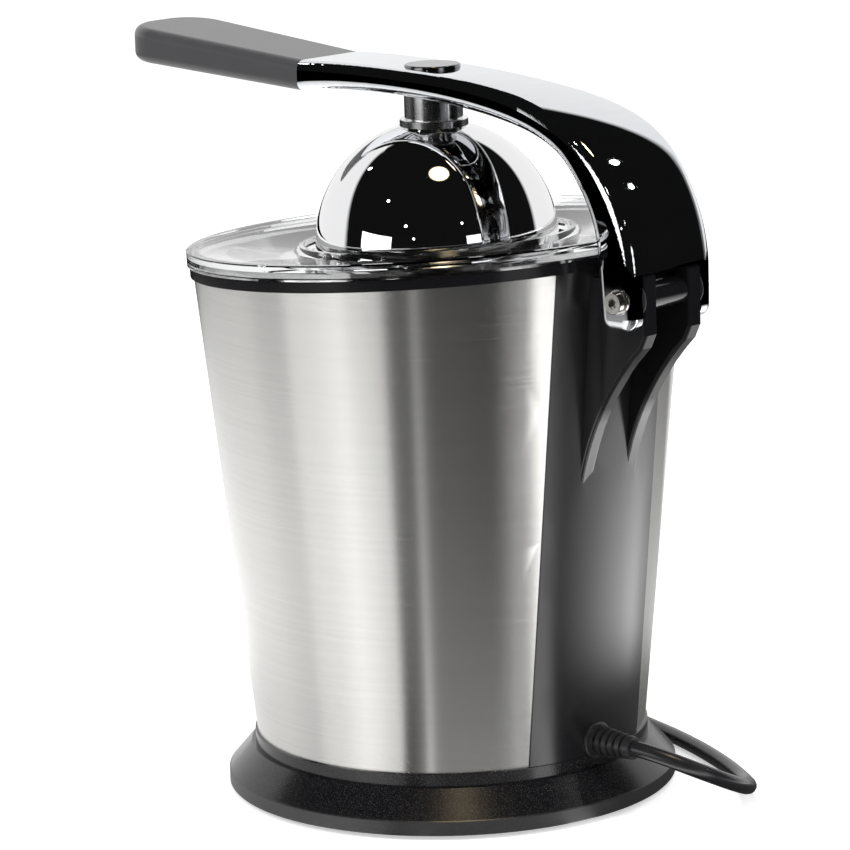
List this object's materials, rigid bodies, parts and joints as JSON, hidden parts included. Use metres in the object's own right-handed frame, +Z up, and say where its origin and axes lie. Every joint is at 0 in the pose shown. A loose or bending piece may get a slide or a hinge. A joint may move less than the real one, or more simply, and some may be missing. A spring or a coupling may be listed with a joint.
{
  "type": "electric citrus juicer",
  "caption": "Electric citrus juicer: conical brushed-steel body on a flared black foot, clear splash cover, hinged chrome lever arm with a pressing dome and rubber grip.",
  "frame": {"origin": "on the table under the reamer's axis, at the centre of the round base", "axes": "+Z up, +Y to the rear (hinge and cord), -Y to the front (glass niche and drip stop), +X to the appliance's right seen from behind"},
  "size_m": [0.3774, 0.3453, 0.3294],
  "materials": {
    "brushed_wrap": "brushed around the body",
    "chrome_plate": "mirror polished",
    "polished_steel": "polished",
    "zinc_steel": "plain plated steel",
    "nickel_bolt": "nickel plated",
    "core_iron": "laminated iron",
    "bush_brass": "plain",
    "panel_black": "gloss black",
    "base_black": "black with fine metal flake",
    "black_plastic": "satin black",
    "clear_cover": "clear moulded plastic",
    "gear_nylon": "natural nylon",
    "grip_rubber": "matte soft touch",
    "foot_rubber": "matte",
    "cord_black": "smooth black"
  },
  "bodies": {
    "housing": {"rubber_feet": "foot_rubber", "base_screws": "zinc_steel", "base_plate": "black_plastic", "base_cover": "base_black", "steel_wrap": "brushed_wrap", "rear_panel": "panel_black", "niche_liner": "black_plastic", "inner_frame": "black_plastic", "top_ring": "panel_black", "juice_bowl": "polished_steel", "splash_cover": "clear_cover", "strainer": "polished_steel", "shaft_seal": "foot_rubber", "gearbox_pan": "black_plastic", "gearbox_lid": "black_plastic", "gearbox_screws": "zinc_steel", "shaft_bushes": "bush_brass", "idler_axle": "zinc_steel", "motor_can": "zinc_steel", "stator": "core_iron", "start_switch": "black_plastic", "switch_bracket": "zinc_steel", "juice_spout": "polished_steel", "spout_bracket": "black_plastic", "hinge_sleeve": "panel_black", "ear_bushes": "black_plastic", "cord_boot": "cord_black", "cord_clamp": "black_plastic", "power_cord": "cord_black", "cord_coil": "cord_black", "cord_tail": "cord_black", "cord_tie": "black_plastic", "plug_body": "cord_black", "plug_pins": "bush_brass"},
    "arm": {"arm_shell": "chrome_plate", "arm_grip": "grip_rubber", "arm_cap": "chrome_plate", "dome_screw": "zinc_steel", "collar_socket": "chrome_plate", "collar_nut": "chrome_plate", "press_dome": "chrome_plate", "hinge_axle": "zinc_steel", "hinge_bolts": "nickel_bolt", "hinge_washers": "nickel_bolt"},
    "rotor_set": {"rotor": "core_iron", "motor_pinion": "bush_brass", "cooling_fan": "gear_nylon"},
    "idler": {"idler_gear": "gear_nylon"},
    "output": {"output_gear": "gear_nylon", "return_spring": "zinc_steel"},
    "spindle": {"drive_shaft": "polished_steel", "reamer_cone": "polished_steel"},
    "switch": {"switch_plunger": "gear_nylon"},
    "drip_nose": {"drip_spout": "polished_steel"}
  },
  "joints": [
    {"name": "arm_lift", "type": "hinge", "parent": "housing", "child": "arm", "pos_m": [0, 0.13, 0.2335], "axis": [-1, 0, 0], "range_deg": [0, 68]},
    {"name": "rotor_spin", "type": "hinge", "parent": "housing", "child": "rotor_set", "pos_m": [0, 0.042, 0.12], "axis": [0, 0, 1], "continuous": true},
    {"name": "idler_spin", "type": "hinge", "parent": "housing", "child": "idler", "pos_m": [0.03651, 0.03343, 0.17], "axis": [0, 0, 1], "continuous": true},
    {"name": "cone_spin", "type": "hinge", "parent": "housing", "child": "output", "pos_m": [0, 0, 0.18], "axis": [0, 0, 1], "continuous": true},
    {"name": "spindle_press", "type": "slide", "parent": "output", "child": "spindle", "axis": [0, 0, -1], "range_m": [0, 0.003], "stiffness_N_per_m": 800, "springref_m": -0.004, "deforming": ["return_spring"]},
    {"name": "switch_plunge", "type": "slide", "parent": "housing", "child": "switch", "axis": [0, 0, -1], "range_m": [0, 0.003]},
    {"name": "spout_flip", "type": "hinge", "parent": "housing", "child": "drip_nose", "pos_m": [0, -0.052, 0.147], "axis": [-1, 0, 0], "range_deg": [0, 25]}
  ],
  "couplings": [
    {"joint": "idler_spin", "follows": "rotor_spin", "ratio": -0.25},
    {"joint": "cone_spin", "follows": "rotor_spin", "ratio": 0.067308},
    {"joint": "switch_plunge", "follows": "spindle_press", "ratio": 1}
  ]
}
